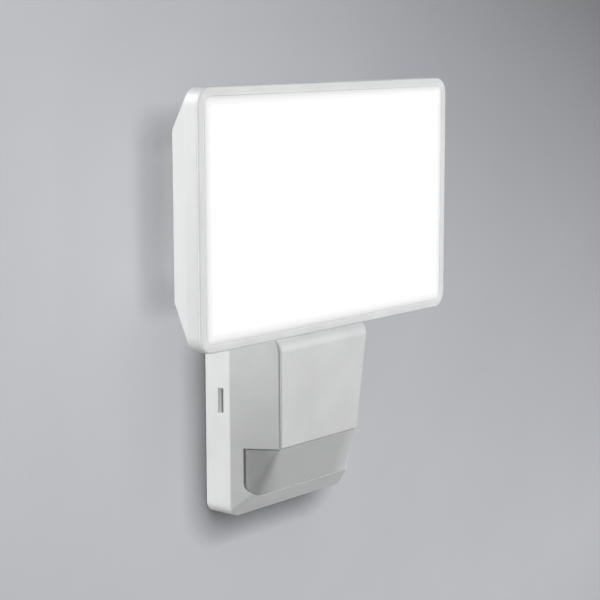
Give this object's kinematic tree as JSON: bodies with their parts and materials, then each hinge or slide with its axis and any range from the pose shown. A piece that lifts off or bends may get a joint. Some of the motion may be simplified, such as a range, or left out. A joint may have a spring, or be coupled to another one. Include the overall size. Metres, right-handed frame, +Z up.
{
  "type": "motion-sensor floodlight",
  "caption": "Wall-mounted LED floodlight: a flat lit panel on a tilting head above a faceted base with a motion sensor window.",
  "frame": {"origin": "midway between the two wall screws, on the back plane that meets the wall", "axes": "+Z up, +Y into the wall, so the lamp faces -Y, and +X to the right of someone facing it"},
  "size_m": [0.24, 0.058, 0.2714],
  "materials": {
    "cover_plastic": "satin white, fine moulded grain",
    "panel_plastic": "satin white",
    "lens_plastic": "translucent milky grey",
    "housing_paint": "white powder coat",
    "bezel_plastic": "satin white",
    "diffuser_opal": "opal, lit from behind",
    "bracket_plastic": "grey, matt",
    "inner_plastic": "black, matt",
    "terminal_plastic": "ivory",
    "circuit_board": "green solder resist",
    "board_white": "white coated aluminium",
    "led_yellow": "phosphor",
    "steel": "zinc plated",
    "arm_paint": "white powder coat",
    "rubber_black": "matt",
    "silicone_white": "matt",
    "detector_can": "nickel plated",
    "capacitor_sleeve": "shrink sleeve",
    "relay_case": "blue",
    "ferrite": "dark grey ferrite with tape",
    "dial_plastic": "grey",
    "latch_plastic": "light grey"
  },
  "bodies": {
    "base": {"wall_bracket": "bracket_plastic", "bracket_gasket": "rubber_black", "cable_grommet": "rubber_black", "terminal_block": "terminal_plastic", "terminal_screws": "steel", "base_cover": "cover_plastic", "column_panel": "panel_plastic", "sensor_lens": "lens_plastic", "lens_seal": "silicone_white", "sensor_carrier": "inner_plastic", "sensor_board": "circuit_board", "pir_detectors": "detector_can", "light_sensor": "inner_plastic", "potentiometers": "inner_plastic", "dial_board": "circuit_board", "driver_board": "circuit_board", "driver_transformer": "ferrite", "driver_capacitors": "capacitor_sleeve", "driver_relay": "relay_case", "driver_screws": "steel", "hinge_chassis": "steel", "chassis_screws": "steel", "hinge_bolt": "steel", "hinge_nut": "steel", "spring_washer": "steel", "friction_washers": "inner_plastic"},
    "head": {"head_housing": "housing_paint", "head_bezel": "bezel_plastic", "diffuser": "diffuser_opal", "diffuser_gasket": "silicone_white", "reflector_tray": "board_white", "led_board": "board_white", "led_chips": "led_yellow", "led_screws": "steel", "tilt_arm": "arm_paint", "arm_screws": "steel", "vent_plug": "rubber_black"},
    "dial_time": {"dial_time": "dial_plastic"},
    "dial_light": {"dial_light": "dial_plastic"},
    "dial_range": {"dial_range": "dial_plastic"},
    "latch_left": {"latch_left": "latch_plastic"},
    "latch_right": {"latch_right": "latch_plastic"}
  },
  "joints": [
    {"name": "head_tilt", "type": "hinge", "parent": "base", "child": "head", "pos_m": [0, -0.04298, 0.0478], "axis": [1, 0, 0], "range_deg": [-8, 60]},
    {"name": "dial_time_turn", "type": "hinge", "parent": "base", "child": "dial_time", "pos_m": [-0.024, -0.01, -0.0565], "axis": [0, 0, -1], "range_deg": [-135, 135]},
    {"name": "dial_light_turn", "type": "hinge", "parent": "base", "child": "dial_light", "pos_m": [0, -0.01, -0.0565], "axis": [0, 0, -1], "range_deg": [-135, 135]},
    {"name": "dial_range_turn", "type": "hinge", "parent": "base", "child": "dial_range", "pos_m": [0.024, -0.01, -0.0565], "axis": [0, 0, -1], "range_deg": [-135, 135]},
    {"name": "latch_left_press", "type": "slide", "parent": "base", "child": "latch_left", "axis": [1, 0, 0], "range_m": [0, 0.002], "stiffness_N_per_m": 300, "springref_m": -0.001},
    {"name": "latch_right_press", "type": "slide", "parent": "base", "child": "latch_right", "axis": [-1, 0, 0], "range_m": [0, 0.002], "stiffness_N_per_m": 300, "springref_m": -0.001}
  ]
}
